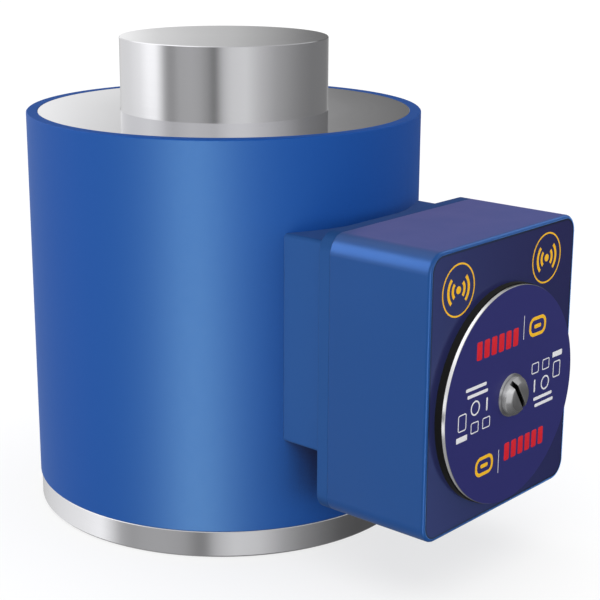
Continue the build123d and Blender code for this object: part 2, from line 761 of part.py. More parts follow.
keep("battery_cap", battery_cap())
gasket = Circle(gasket_radius) - Circle(well_radius + mouth_chamfer)
keep("cap_gasket", slab(gasket, seat_out + face_gap, flange_back_out, 0, cap_height))
label = Circle(cap_radius - label_margin) - Circle(washer_radius + fit_gap)
keep("cap_label", slab(label, cap_face_out, cap_face_out + label_thickness, 0, cap_height))
washer = Circle(washer_radius) - Circle(screw_radius + slide_gap)
keep("screw_washer", slab(washer, cap_face_out, washer_out, 0, cap_height))
keep("screw_oring", screw_seal())
keep("cap_screw", cap_screw())
clip = Circle(ring_radius) - Circle(ring_groove + fit_gap)
keep("retaining_ring", slab(clip, ring_front_out - ring_thickness, ring_front_out, 0, cap_height))
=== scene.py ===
import json
from math import pi, radians

import bmesh
import bpy
import numpy as np
from mathutils import Matrix, Vector

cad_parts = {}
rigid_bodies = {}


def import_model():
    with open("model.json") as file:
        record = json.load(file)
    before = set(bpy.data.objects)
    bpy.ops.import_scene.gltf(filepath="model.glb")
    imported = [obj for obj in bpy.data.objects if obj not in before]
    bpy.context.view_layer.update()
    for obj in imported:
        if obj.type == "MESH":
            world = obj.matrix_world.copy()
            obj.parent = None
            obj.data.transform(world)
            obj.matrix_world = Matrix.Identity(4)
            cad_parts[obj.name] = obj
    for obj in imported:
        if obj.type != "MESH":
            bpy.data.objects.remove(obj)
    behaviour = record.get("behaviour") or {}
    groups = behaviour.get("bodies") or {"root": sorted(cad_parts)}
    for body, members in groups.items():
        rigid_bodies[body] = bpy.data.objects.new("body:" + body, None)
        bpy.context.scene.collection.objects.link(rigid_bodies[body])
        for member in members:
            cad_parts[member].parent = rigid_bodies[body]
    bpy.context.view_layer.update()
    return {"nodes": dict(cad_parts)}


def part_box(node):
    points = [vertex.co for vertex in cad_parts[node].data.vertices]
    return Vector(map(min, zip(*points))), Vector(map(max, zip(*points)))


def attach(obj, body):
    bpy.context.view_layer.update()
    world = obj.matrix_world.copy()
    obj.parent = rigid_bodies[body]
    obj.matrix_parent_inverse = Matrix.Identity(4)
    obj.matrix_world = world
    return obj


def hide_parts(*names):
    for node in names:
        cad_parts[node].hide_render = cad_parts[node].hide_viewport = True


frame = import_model()
nodes = frame["nodes"]

# A compression load cell with a radio housing on its side.
# Lengths are in metres. The column's axis is Z, the housing faces -Y and "out" is measured along -Y.
# Each new piece is a surface worked out as whole arrays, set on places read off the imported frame.
MM = 0.001
MICRON = 1e-6

# Places read from the frame
cap_low, cap_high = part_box("battery_cap")
film_low, film_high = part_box("front_overlay")
cap_radius = (cap_high.x - cap_low.x) / 2
cap_height = (cap_low.z + cap_high.z) / 2
label_out = -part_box("cap_label")[0].y
film_out = -film_low.y


# Meshes

sharp_angle = 30.0        # degrees, past which an edge stays sharp


def new_piece(name, points, faces, slot, body, replaced=()):
    """Mesh object from arrays of points and four-sided faces, with doubles merged and faces outwards."""
    mesh = bpy.data.meshes.new(name)
    mesh.from_pydata(points.reshape(-1, 3).tolist(), [], faces.tolist())
    shell = bmesh.new()
    shell.from_mesh(mesh)
    bmesh.ops.remove_doubles(shell, verts=shell.verts, dist=MICRON)
    bmesh.ops.dissolve_degenerate(shell, edges=shell.edges, dist=MICRON)
    bmesh.ops.recalc_face_normals(shell, faces=shell.faces)
    shell.to_mesh(mesh)
    shell.free()
    mesh.polygons.foreach_set("use_smooth", np.ones(len(mesh.polygons), bool))
    mesh.set_sharp_from_angle(angle=radians(sharp_angle))
    piece = bpy.data.objects.new(name, mesh)
    bpy.context.scene.collection.objects.link(piece)
    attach(piece, body)
    if replaced:
        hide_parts(*replaced)
    return piece


def grid_faces(rows, columns, rows_close=False, columns_close=True):
    """Four-sided faces between the neighbouring points of a grid, each direction open or closed on itself."""
    i, j = np.meshgrid(np.arange(rows if rows_close else rows - 1),
                       np.arange(columns if columns_close else columns - 1), indexing="ij")
    i_next, j_next = (i + 1) % rows, (j + 1) % columns
    corners = [(i, j), (i, j_next), (i_next, j_next), (i_next, j)]
    return np.stack([row * columns + column for row, column in corners], axis=-1).reshape(-1, 4)


def join_grids(grids):
    """Several (points, faces) pairs as one pair, each grid's faces moved on past the points before it."""
    starts = np.cumsum([0] + [points.reshape(-1, 3).shape[0] for points, _ in grids[:-1]])
    points = np.concatenate([points.reshape(-1, 3) for points, _ in grids])
    faces = np.concatenate([faces + start for (_, faces), start in zip(grids, starts)])
    return points, faces


def facing_out(x, z, out):
    """Points x to the right and z up at a distance out from the column, its last axis holding x, y and z."""
    x, z, out = np.broadcast_arrays(x, z, out)
    return np.stack([x, -out, z], axis=-1)


def turned_out(profile, steps):
    """Surface turned about the cap's axis, which points out: each (radius, out) of the profile goes round in
    equal steps."""
    radius, out = np.array(profile, float).T[:, :, None]
    turn = np.arange(steps) * 2 * pi / steps
    points = facing_out(radius * np.cos(turn), cap_height + radius * np.sin(turn), out)
    return points, grid_faces(len(profile), steps)


# Raised print

print_thickness = 0.04 * MM
upright_share = 0.6       # of a print's thickness, before its edge rounds in
flat_share = 0.86         # of a line's width, between its rounded edges


def rounded_box(width, height, corner, steps=8):
    """Outline of a box with round corners: the corner's circle carried to four centres, a quarter turn at
    each."""
    quarter = np.arange(4)[:, None] * pi / 2
    turn = quarter + np.linspace(0, pi / 2, steps)
    x = np.sign(np.cos(quarter + pi / 4)) * (width / 2 - corner) + corner * np.cos(turn)
    z = np.sign(np.sin(quarter + pi / 4)) * (height / 2 - corner) + corner * np.sin(turn)
    return np.stack([x, z], axis=-1).reshape(-1, 2)


def circle_outline(radius, steps=48):
    """Equal steps round a circle."""
    turn = np.arange(steps) * 2 * pi / steps
    return radius * np.stack([np.cos(turn), np.sin(turn)], axis=-1)


def arc_path(radius, middle, reach, x, z, steps=24):
    """Points along a circle, an equal reach in degrees to each side of its middle."""
    turn = np.radians(np.linspace(middle - reach, middle + reach, steps))
    return np.stack([x + radius * np.cos(turn), z + radius * np.sin(turn)], axis=-1)


def print_patch(outline, x, z, out):
    """Filled print: rings from the middle of the back out to the outline, up its edge and in over a softened
    rim."""
    softened = 1.0 - print_thickness / np.abs(outline).max()
    share = np.array([0.0, 1.0, 1.0, softened, 0.0])[:, None]
    rise = np.array([0.0, 0.0, upright_share, 1.0, 1.0])[:, None] * print_thickness
    points = facing_out(x + share * outline[:, 0], z + share * outline[:, 1], out + rise)
    return points, grid_faces(len(share), len(outline))


def print_line(path, width, out, closed=False, round_ends=True):
    """Printed line: a flat section with softened edges set square to the path. Where the path is open, its
    width falls as a half circle past the ends, or to nothing at once where they are cut flat."""
    ahead = np.roll(path, -1, axis=0) - np.roll(path, 1, axis=0) if closed else np.gradient(path, axis=0)
    ahead /= np.linalg.norm(ahead, axis=1)[:, None]
    half = np.full(len(path), width / 2)
    if not closed:
        beyond = narrow = np.zeros(1)
        if round_ends:
            end_turn = np.linspace(0, pi / 2, 6)[:-1]
            beyond, narrow = width / 2 * np.cos(end_turn), width / 2 * np.sin(end_turn)
        first = path[0] - ahead[0] * beyond[:, None]
        last = path[-1] + ahead[-1] * beyond[::-1, None]
        path = np.concatenate([first, path, last])
        ahead_first = np.broadcast_to(ahead[0], first.shape)
        ahead_last = np.broadcast_to(ahead[-1], last.shape)
        ahead = np.concatenate([ahead_first, ahead, ahead_last])
        half = np.concatenate([narrow, half, narrow[::-1]])
    square = np.stack([ahead[:, 1], -ahead[:, 0]], axis=-1)
    across = np.array([-1.0, -1.0, -flat_share, flat_share, 1.0, 1.0])
    rise = np.array([0.0, upright_share, 1.0, 1.0, upright_share, 0.0]) * print_thickness
    flat = path[:, None, :] + square[:, None, :] * (half[:, None] * across)[:, :, None]
    points = facing_out(flat[..., 0], flat[..., 1], out + rise)
    return points, grid_faces(len(path), len(across), rows_close=closed)


def radio_symbol(name, x, z):
    """Circle round a dot with two arcs on each side, as lines carried along circles."""
    circle_radius, circle_width = 9.35 * MM, 0.62 * MM
    dot_radius = 1.4 * MM
    arcs = ((3.45 * MM, 45.0), (6.05 * MM, 46.0))       # radius, and degrees to each side of the middle
    arc_width = 1.3 * MM
    ring = circle_outline(circle_radius, 96) + np.array([x, z])
    grids = [print_line(ring, circle_width, film_out, closed=True),
             print_patch(circle_outline(dot_radius, 32), x, z, film_out)]
    for radius, reach in arcs:
        for side in (0.0, 180.0):
            arc = arc_path(radius, side, reach, x, z)
            grids.append(print_line(arc, arc_width, film_out, round_ends=False))
    return new_piece(name, *join_grids(grids), "indigo_film", "load_cell")


def cap_print(name, lines=(), patches=()):
    """One colour of the cap's print: its lines and patches, each also turned half round the cap's centre."""
    centre = np.array([0, cap_height])
    grids = []
    for sign in (1, -1):
        grids += [print_line(centre + sign * path, width, label_out, closed) for path, width, closed in lines]
        grids += [print_patch(outline, sign * x, cap_height + sign * z, label_out)
                  for outline, places in patches for x, z in places]
    return new_piece(name, *join_grids(grids), "indigo_film", "battery_cap")


radio_symbols = [radio_symbol("radio_symbol_left", -29.4 * MM, 117.0 * MM),
                 radio_symbol("radio_symbol_right", 26.6 * MM, 118.2 * MM)]

# The cap carries plain marks only: a row of red bars, a yellow loop, a pale divider and small pale marks
red_bar = rounded_box(3.3 * MM, 6.8 * MM, 0.7 * MM)
red_places = [(x * MM, 21.6 * MM) for x in np.linspace(-21.4, 1.4, 6)]
yellow_place = (15.8 * MM, 22.8 * MM)
yellow_loop = rounded_box(10.0 * MM, 6.2 * MM, 2.6 * MM, 12)
yellow_bar = rounded_box(4.6 * MM, 1.5 * MM, 0.7 * MM)
divider = np.linspace([6.6, 19.6], [6.6, 28.4], 8) * MM
pale_row = rounded_box(12.6 * MM, 1.25 * MM, 0.4 * MM)
pale_bar = rounded_box(6.6 * MM, 2.1 * MM, 0.25 * MM)
pale_tick = rounded_box(0.9 * MM, 5.0 * MM, 0.45 * MM)
pale_frame = rounded_box(4.6 * MM, 6.0 * MM, 0.8 * MM, 6)
pale_box = rounded_box(4.4 * MM, 3.8 * MM, 0.5 * MM, 6)
pale_ring = circle_outline(2.5 * MM)
red_print = cap_print("red_print", patches=[(red_bar, red_places)])
yellow_print = cap_print("yellow_print", lines=[(yellow_loop + yellow_place, 1.3 * MM, True)],
                         patches=[(yellow_bar, [yellow_place])])
pale_print = cap_print(
    "pale_print",
    lines=[(divider, 0.3 * MM, False),
           (pale_frame + np.array([-30.6, -2.6]) * MM, 0.45 * MM, True),
           (pale_ring + np.array([-22.8, 0.9]) * MM, 0.6 * MM, True),
           (pale_box + np.array([-22.8, -6.4]) * MM, 0.4 * MM, True),
           (pale_box + np.array([-15.6, -6.4]) * MM, 0.4 * MM, True)],
    patches=[(pale_row, [(-22.6 * MM, 8.6 * MM), (-21.6 * MM, 5.9 * MM)]),
             (pale_bar, [(-30.6 * MM, -8.7 * MM)]),
             (pale_tick, [(-15.6 * MM, 0.6 * MM)])])


# Screws and gasket

def slotted_head(radius, side, face_radius, height, slot_width, slot_depth, slot_angle, out):
    """Slices across the slot: at each distance from its middle line the head's outline rises from the seat up
    the side, in over the taper and across the face, and is cut down to the slot's floor between the slot's
    walls."""
    edge, soft = 0.25 * MM, 0.12 * MM
    inner_radius = 0.6 * face_radius
    rings = np.array([
        (radius, 0), (radius, side - edge), (radius - soft, side), (face_radius + edge, height - edge),
        (face_radius, height - edge / 3), (face_radius - edge, height), (inner_radius, height),
    ])
    taper = np.linspace(rings[2], rings[3], 6)[1:-1]
    rings = np.concatenate([rings[:3], taper, rings[3:], [(0.0, height)]])
    wall = slot_width / 2
    rounding = np.sin(np.linspace(0, pi / 2, 9))[1:]
    face_slices = np.linspace(wall + soft, face_radius, 9)
    side_slices = face_radius + (radius - face_radius) * rounding
    half = [(wall, slot_depth), (wall, soft)] + [(x, 0.0) for x in (*face_slices, *side_slices)]
    slices = [(-x, cut) for x, cut in half[::-1]] + [(0.0, slot_depth)] + half
    x, cut = np.array(slices).T[:, :, None]
    reach = np.concatenate([rings[:, 0], rings[-2::-1, 0]])
    level = np.concatenate([rings[:, 1], rings[-2::-1, 1]])
    way = np.concatenate([-np.ones(len(rings)), np.ones(len(rings) - 1)])
    along = way * np.sqrt(np.clip(reach ** 2 - x ** 2, 0, None))
    far = np.maximum(reach, np.abs(x))
    rim_height = np.interp(-far, -rings[1:, 0], rings[1:, 1])
    rise = np.where(level == 0, 0.0, np.minimum(rim_height, height - cut))
    turn = radians(slot_angle + 90)
    right = x * np.cos(turn) - along * np.sin(turn)
    up = x * np.sin(turn) + along * np.cos(turn)
    points = facing_out(right, cap_height + up, out + rise)
    return points, grid_faces(len(slices), len(reach), columns_close=False)


def screw_thread(root, crest, pitch, start, turns, steps=40):
    """Ribbon of one pitch of the thread's profile carried along a helix, its depth fading in at both ends."""
    fade_turns = 0.75
    share = np.array([0.0, 0.12, 0.44, 0.56, 0.88, 1.0])
    height = np.array([0.0, 0.0, 1.0, 1.0, 0.0, 0.0])
    travel = np.arange(int(turns * steps) + 1)[:, None] / steps
    fade = np.clip(np.minimum(travel, turns - travel) / fade_turns, 0, 1)
    radius = root + (crest - root) * height * fade
    turn = travel * 2 * pi
    out = start + pitch * (travel + share)
    points = facing_out(radius * np.cos(turn), cap_height + radius * np.sin(turn), out)
    return points, grid_faces(len(travel), len(share), columns_close=False)


def slotted_cap_screw():
    """Captive screw: slotted head, plain shank with its ring groove, and a threaded end."""
    screw_low, screw_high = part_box("cap_screw")
    ring_low, ring_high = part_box("retaining_ring")
    gap = 0.05 * MM
    seat = -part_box("screw_washer")[0].y + gap
    top = -screw_low.y
    tip = -screw_high.y
    groove_back, groove_front = -ring_high.y - gap, -ring_low.y + gap
    shank, core, groove = 4.0 * MM, 3.32 * MM, 3.3 * MM       # radii
    root, crest = core - 0.01 * MM, shank - 0.02 * MM
    tip_chamfer, shoulder = 0.7 * MM, 0.6 * MM
    pitch, bare_turns = 1.25 * MM, 1.6
    thread_start, thread_end = tip + 0.5 * MM, groove_back - 1.4 * MM
    turns = (thread_end - tip) / pitch - bare_turns
    radius = (screw_high.x - screw_low.x) / 2
    head = slotted_head(radius, side=1.7 * MM, face_radius=5.4 * MM, height=top - seat, slot_width=2.0 * MM,
                        slot_depth=1.9 * MM, slot_angle=-57.0, out=seat)
    profile = [(0, tip), (core - tip_chamfer, tip), (core, tip + tip_chamfer), (core, thread_end),
               (shank, thread_end + shoulder), (shank, groove_back), (groove, groove_back),
               (groove, groove_front), (shank, groove_front), (shank, seat), (radius, seat)]
    shaft = turned_out(profile, 64)
    thread = screw_thread(root, crest, pitch, thread_start, turns)
    points, faces = join_grids([head, shaft, thread])
    return new_piece("slotted_cap_screw", points, faces, "plated_steel", "cap_screw", ["cap_screw"])


def hexagon(flats, steps):
    """Radius of a hexagon at equal steps round it, from its width over the flats."""
    turn = np.arange(steps) * 2 * pi / steps
    return flats / 2 / np.cos((turn + pi / 6) % (pi / 3) - pi / 6)


def socket_screw(place, along, profile, flats, depth, steps=48):
    """Socket screw: round rings from the tip up the shank and over the head, given as (radius, height) pairs,
    then hexagon rings over the socket's chamfer and down to its point. The height is counted along the
    screw's own direction from its tip."""
    radii = [np.full(steps, radius) for radius, _ in profile]
    heights = [height for _, height in profile]
    top = heights[-1]
    chamfer, point_depth = 0.1 * MM, 1.25 * depth
    for scale, height in ((1.06, top), (1.0, top - chamfer), (1.0, top - depth), (0.0, top - point_depth)):
        radii.append(scale * hexagon(flats, steps))
        heights.append(height)
    radius = np.array(radii)[..., None]
    height = np.array(heights)[:, None, None]
    turn = (np.arange(steps) * 2 * pi / steps)[:, None]
    along = np.array(along, float)
    first = np.cross(along, [1.0, 0.0, 0.0])
    second = np.cross(along, first)
    points = place + height * along + radius * (np.cos(turn) * first + np.sin(turn) * second)
    return points, grid_faces(len(radii), steps)


def base_socket_screws():
    """Cap-head screws sunk in the underside, heads down with hexagon sockets, at equal steps round it."""
    low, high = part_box("base_screws")
    shank, head = 2.5 * MM, 4.25 * MM       # radii
    head_height, length = 5.0 * MM, high.z - low.z
    flats, depth = 4.0 * MM, 2.5 * MM
    circle = (high.x - low.x) / 2 - head
    under = length - head_height
    profile = [(0, 0), (shank - 0.5 * MM, 0), (shank, 0.5 * MM), (shank, under), (head - 0.1 * MM, under),
               (head, under + 0.1 * MM), (head, length - 0.5 * MM), (head - 0.15 * MM, length - 0.15 * MM),
               (head - 0.5 * MM, length)]
    places = [(circle * np.cos(turn), circle * np.sin(turn), high.z) for turn in np.arange(6) * pi / 3]
    points, faces = join_grids([socket_screw(place, (0, 0, -1), profile, flats, depth) for place in places])
    return new_piece("base_socket_screws", points, faces, "plated_steel", "load_cell", ["base_screws"])


def housing_socket_screws():
    """Countersunk screws from behind the plate, one in each corner, their flat heads level with it and with
    hexagon sockets."""
    low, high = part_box("housing_screws")
    shank, head = 2.0 * MM, 4.0 * MM       # radii
    head_height, length = 2.2 * MM, high.y - low.y
    flats, depth = 2.5 * MM, 1.3 * MM
    profile = [(0, 0), (shank - 0.4 * MM, 0), (shank, 0.4 * MM), (shank, length - head_height),
               (head - 0.08 * MM, length - 0.12 * MM), (head - 0.15 * MM, length)]
    places = [(x, low.y, z) for x in (low.x + head, high.x - head) for z in (low.z + head, high.z - head)]
    points, faces = join_grids([socket_screw(place, (0, 1, 0), profile, flats, depth) for place in places])
    return new_piece("housing_socket_screws", points, faces, "plated_steel", "load_cell", ["housing_screws"])


def lipped_gasket():
    """Cap gasket: a flat ring under the cap's flange, its thin lip turned up over the flange's back edge."""
    low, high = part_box("cap_gasket")
    back, front = -high.y, -low.y
    bore = cap_radius - 4.4 * MM
    lip, cover, soft, gap = 0.3 * MM, 0.8 * MM, 0.12 * MM, 0.02 * MM
    profile = [(bore, back), (cap_radius + lip - 0.1 * MM, back), (cap_radius + lip, back + 0.1 * MM),
               (cap_radius + lip, front + cover - soft), (cap_radius + lip - soft, front + cover),
               (cap_radius + gap, front + cover), (cap_radius + gap, front), (bore, front), (bore, back)]
    points, faces = turned_out(profile, 192)
    return new_piece("lipped_cap_gasket", points, faces, "black_rubber", "battery_cap", ["cap_gasket"])


cap_screw = slotted_cap_screw()
base_bolts = base_socket_screws()
housing_bolts = housing_socket_screws()
gasket = lipped_gasket()


# Materials

def linear(code):
    """Linear colour from an sRGB hex value."""
    value = np.array([int(code[i:i + 2], 16) for i in (1, 3, 5)]) / 255
    value = np.where(value <= 0.04045, value / 12.92, ((value + 0.055) / 1.055) ** 2.4)
    return (*value.tolist(), 1.0)


def add(tree, kind, settings=None, **links):
    """Node with its properties and sockets set and its inputs linked. A key such as i1 names an input by its
    number, and any other one by its name."""
    node = tree.nodes.new(kind)

    def socket_of(key):
        if key[0] == "i" and key[1:].isdigit():
            return node.inputs[int(key[1:])]
        return node.inputs.get(key.replace("_", " "))

    for key, value in (settings or {}).items():
        socket = socket_of(key)
        if socket is None:
            setattr(node, key, value)
        else:
            socket.default_value = value
    for key, source in links.items():
        tree.links.new(source, socket_of(key))
    return node


def new_finish(name, **sockets):
    """Material with one Principled shader, its uniform values set on the shader's own sockets."""
    finish = bpy.data.materials.new(name)
    finish.use_nodes = True
    tree = finish.node_tree
    shader = tree.nodes["Principled BSDF"]
    for key, value in sockets.items():
        value = linear(value) if isinstance(value, str) else value
        shader.inputs[key.replace("_", " ")].default_value = value
    return finish, tree, shader


def object_millimetres(tree):
    """Object coordinates in millimetres."""
    place = add(tree, "ShaderNodeTexCoord").outputs["Object"]
    return add(tree, "ShaderNodeVectorMath", {"operation": "SCALE", "Scale": 1 / MM}, i0=place).outputs[0]


def speckle(tree, place, per_mm, detail=2.0):
    """Noise with so many cells to the millimetre."""
    return add(tree, "ShaderNodeTexNoise", {"Scale": per_mm, "Detail": detail}, Vector=place).outputs["Fac"]


def spread(tree, source, low, high, from_low=0.3, from_high=0.7):
    """A value carried from one range to another. The first is where noise mostly stays, unless it is given."""
    ranges = {"From Min": from_low, "From Max": from_high, "To Min": low, "To Max": high}
    return add(tree, "ShaderNodeMapRange", ranges, Value=source).outputs["Result"]


def grain_bump(tree, shader, grain, strength, depth_mm, soft_edge_mm=0.0):
    """Bump from a grain, its depth in millimetres, over edges that are rounded off for the light alone."""
    bump = add(tree, "ShaderNodeBump", {"Strength": strength, "Distance": depth_mm * MM}, Height=grain)
    if soft_edge_mm:
        edge = add(tree, "ShaderNodeBevel", {"samples": 6, "Radius": soft_edge_mm * MM})
        tree.links.new(edge.outputs[0], bump.inputs["Normal"])
    tree.links.new(bump.outputs[0], shader.inputs["Normal"])


def changing_gloss(tree, shader, plain, change):
    """Roughness as the sum of a plain one, which depends on the way a face looks, and a faint change."""
    roughness = add(tree, "ShaderNodeMath", {"operation": "ADD"}, i0=plain, i1=change)
    tree.links.new(roughness.outputs[0], shader.inputs["Roughness"])


def two_colours(tree, shader, first, second, share):
    """Base colour blended from the first to the second as the share goes from 0 to 1."""
    colours = {"data_type": "RGBA", "i6": linear(first), "i7": linear(second)}
    blend = add(tree, "ShaderNodeMix", colours, Factor=share)
    tree.links.new(blend.outputs[2], shader.inputs["Base Color"])


def round_the_axis(tree, axis, centre):
    """Direction of a lathe's cut: square to the axis and to the line from it, in the scene's directions."""
    place = add(tree, "ShaderNodeTexCoord").outputs["Object"]
    arm = add(tree, "ShaderNodeVectorMath", {"operation": "SUBTRACT", "i1": centre}, i0=place)
    cut = add(tree, "ShaderNodeVectorMath", {"operation": "CROSS_PRODUCT", "i0": axis}, i1=arm.outputs[0])
    to_scene = {"vector_type": "VECTOR", "convert_from": "OBJECT", "convert_to": "WORLD"}
    return add(tree, "ShaderNodeVectorTransform", to_scene, i0=cut.outputs[0]).outputs[0]


def lathe_marks(tree, axis, centre):
    """Noise that runs round the axis: it reads only the distance from the axis and the place along it. The
    marks are about half a millimetre apart, coarser than real ones, so that they show."""
    centre_mm = tuple(part / MM for part in centre)
    place = object_millimetres(tree)
    arm = add(tree, "ShaderNodeVectorMath", {"operation": "SUBTRACT", "i1": centre_mm}, i0=place)
    along = add(tree, "ShaderNodeVectorMath", {"operation": "DOT_PRODUCT", "i1": axis}, i0=arm.outputs[0])
    square = add(tree, "ShaderNodeVectorMath", {"operation": "CROSS_PRODUCT", "i1": axis}, i0=arm.outputs[0])
    away = add(tree, "ShaderNodeVectorMath", {"operation": "LENGTH"}, i0=square.outputs[0])
    mark = add(tree, "ShaderNodeCombineXYZ", X=away.outputs["Value"], Y=along.outputs["Value"])
    return speckle(tree, mark.outputs[0], per_mm=2.2, detail=3.0)


def turned_metal(name, axis, centre, colour, roughness, faced, anisotropy=0.5, hollow_shade_mm=0.0):
    """Metal turned on a lathe: reflections stretch across the tool's round marks, which show only as a faint
    change of gloss from ring to ring. The faced ends are finished apart from the sides. Narrow hollows are
    painted dark: painted shade where little light reaches in."""
    finish, tree, shader = new_finish(name, Base_Color=colour, Metallic=1.0, Roughness=roughness,
                                      Anisotropic=anisotropy, Anisotropic_Rotation=0.25)
    marks = lathe_marks(tree, axis, centre)
    facing = add(tree, "ShaderNodeTexCoord").outputs["Normal"]
    lean = add(tree, "ShaderNodeVectorMath", {"operation": "DOT_PRODUCT", "i1": axis}, i0=facing)
    end_on = add(tree, "ShaderNodeMath", {"operation": "ABSOLUTE"}, i0=lean.outputs["Value"])
    plain = spread(tree, end_on.outputs[0], roughness, faced, from_low=0.8, from_high=1.0)
    changing_gloss(tree, shader, plain, spread(tree, marks, -0.02, 0.02))
    grain_bump(tree, shader, marks, strength=0.06, depth_mm=0.02)
    tree.links.new(round_the_axis(tree, axis, centre), shader.inputs["Tangent"])
    # Painted shade: narrow hollows, such as the screw's slot, turn near black in the base colour by ambient
    # occlusion
    if hollow_shade_mm:
        reach = {"samples": 8, "only_local": True, "Distance": hollow_shade_mm * MM}
        hollow = add(tree, "ShaderNodeAmbientOcclusion", reach)
        light = spread(tree, hollow.outputs["AO"], 0.0, 1.0, from_low=0.5, from_high=0.8)
        two_colours(tree, shader, "#0C0C0D", colour, light)
    return finish


def light_under_overhang(tree, place, painted_shade_reach_mm):
    """Light that reaches a place under what stands out above it, from 0 to 1: the open share of the
    directions round one that is tilted up from the face, and away from the middle so that what stands beside
    it counts for little."""
    half_width_mm = 40.0
    outward, upward = 1.5, 2.0
    square = add(tree, "ShaderNodeNewGeometry").outputs["Normal"]
    across = add(tree, "ShaderNodeSeparateXYZ", i0=place).outputs["X"]
    outwards = spread(tree, across, -outward, outward, -half_width_mm, half_width_mm)
    tilt = add(tree, "ShaderNodeCombineXYZ", {"Z": upward}, X=outwards)
    tilted = add(tree, "ShaderNodeVectorMath", {"operation": "ADD"}, i0=square, i1=tilt.outputs[0])
    way = add(tree, "ShaderNodeVectorMath", {"operation": "NORMALIZE"}, i0=tilted.outputs[0])
    reach = {"samples": 8, "Distance": painted_shade_reach_mm * MM}
    sky = add(tree, "ShaderNodeAmbientOcclusion", reach, Normal=way.outputs[0])
    return spread(tree, sky.outputs["AO"], 0.0, 1.0, from_low=0.28, from_high=0.68)


def blue_anodised(name, colour, painted_shade_reach_mm=0.0):
    """Aluminium, fine turned or milled and then anodised blue: a deep, even, satin blue that keeps its colour
    under the lights, with a bead-blast grain of a sixth of a millimetre and edges that catch a thin line of
    light. Its upper faces are blasted coarser and stay dull when seen from low down. Under what overhangs
    it the base colour darkens to navy: painted shade."""
    side_roughness, top_roughness = 0.53, 0.75
    finish, tree, shader = new_finish(name, Base_Color=colour, Metallic=0.2, Roughness=0.55,
                                      Specular_Tint="#B8DCFF")
    place = object_millimetres(tree)
    grain_bump(tree, shader, speckle(tree, place, per_mm=6.0), strength=0.05, depth_mm=0.03, soft_edge_mm=0.4)
    facing = add(tree, "ShaderNodeTexCoord").outputs["Normal"]
    upward = add(tree, "ShaderNodeSeparateXYZ", i0=facing).outputs["Z"]
    plain = spread(tree, upward, side_roughness, top_roughness, from_low=0.7, from_high=1.0)
    clouding = speckle(tree, place, per_mm=0.4, detail=4.0)
    changing_gloss(tree, shader, plain, spread(tree, clouding, 0.0, 0.02))
    # Painted shade: the base colour goes to navy where little light reaches under the block and housing
    if painted_shade_reach_mm:
        two_colours(tree, shader, "#021050", colour, light_under_overhang(tree, place, painted_shade_reach_mm))
    return finish


def blue_moulding():
    """Nylon, moulded in blue: satin, with the mould's fine texture and a soft light along its round edges."""
    finish, tree, shader = new_finish("blue_moulded_nylon", Base_Color="#0E529D", Roughness=0.34,
                                      Specular_IOR_Level=0.35)
    place = object_millimetres(tree)
    grain_bump(tree, shader, speckle(tree, place, per_mm=5.0), strength=0.06, depth_mm=0.04, soft_edge_mm=0.4)
    clouding = speckle(tree, place, per_mm=0.06, detail=3.0)
    tree.links.new(spread(tree, clouding, 0.32, 0.36), shader.inputs["Roughness"])
    return finish


def film_border(tree, low, high, corner, width):
    """Share of a line round a box with round corners, all in millimetres. A place's reach is its distance
    from the smaller box that joins the corners' centres, and falls below nothing inside that box."""
    any_depth, blur = 1000.0, 0.15
    middle = (low + high) / (2 * MM)
    half = (high - low) / (2 * MM)
    to_corner = (half.x - corner, any_depth, half.z - corner)
    place = object_millimetres(tree)
    arm = add(tree, "ShaderNodeVectorMath", {"operation": "SUBTRACT", "i1": tuple(middle)}, i0=place)
    side = add(tree, "ShaderNodeVectorMath", {"operation": "ABSOLUTE"}, i0=arm.outputs[0])
    past = add(tree, "ShaderNodeVectorMath", {"operation": "SUBTRACT", "i1": to_corner}, i0=side.outputs[0])
    outside = add(tree, "ShaderNodeVectorMath", {"operation": "MAXIMUM", "i1": (0.0, 0.0, 0.0)},
                  i0=past.outputs[0])
    round_part = add(tree, "ShaderNodeVectorMath", {"operation": "LENGTH"}, i0=outside.outputs[0])
    parts = add(tree, "ShaderNodeSeparateXYZ", i0=past.outputs[0]).outputs
    longest = add(tree, "ShaderNodeMath", {"operation": "MAXIMUM"}, i0=parts["X"], i1=parts["Z"])
    flat_part = add(tree, "ShaderNodeMath", {"operation": "MINIMUM", "i1": 0.0}, i0=longest.outputs[0])
    reach = add(tree, "ShaderNodeMath", {"operation": "ADD"}, i0=round_part.outputs["Value"],
                i1=flat_part.outputs[0])
    line_start = corner - width
    return spread(tree, reach.outputs[0], 0.0, 1.0, line_start - blur, line_start + blur)


def indigo_film(name, colour, border=None):
    """Polyester film printed indigo on its back, smooth with a slight ripple from the glue under it. The
    front one is darker in a line round its border."""
    finish, tree, shader = new_finish(name, Base_Color=colour, Roughness=0.3, Specular_IOR_Level=0.15)
    if border:
        two_colours(tree, shader, colour, "#0C0822", film_border(tree, *border))
    ripple = speckle(tree, object_millimetres(tree), per_mm=0.12)
    grain_bump(tree, shader, ripple, strength=0.04, depth_mm=0.05)
    return finish


def print_ink(name, colour):
    """Screen-print ink, opaque with a slight tooth."""
    finish, tree, shader = new_finish(name, Base_Color=colour, Roughness=0.45, Specular_IOR_Level=0.25)
    tooth = speckle(tree, object_millimetres(tree), per_mm=8.0)
    grain_bump(tree, shader, tooth, strength=0.05, depth_mm=0.02)
    return finish


def plain_finish(name, colour, metallic, roughness, per_mm, depth_mm, **more):
    """Finish with one fine grain, so many to the millimetre and so deep, that also varies its gloss."""
    finish, tree, shader = new_finish(name, Base_Color=colour, Metallic=metallic, Roughness=roughness, **more)
    grain = speckle(tree, object_millimetres(tree), per_mm)
    grain_bump(tree, shader, grain, strength=0.2, depth_mm=depth_mm)
    tree.links.new(spread(tree, grain, roughness - 0.05, roughness + 0.05), shader.inputs["Roughness"])
    return finish


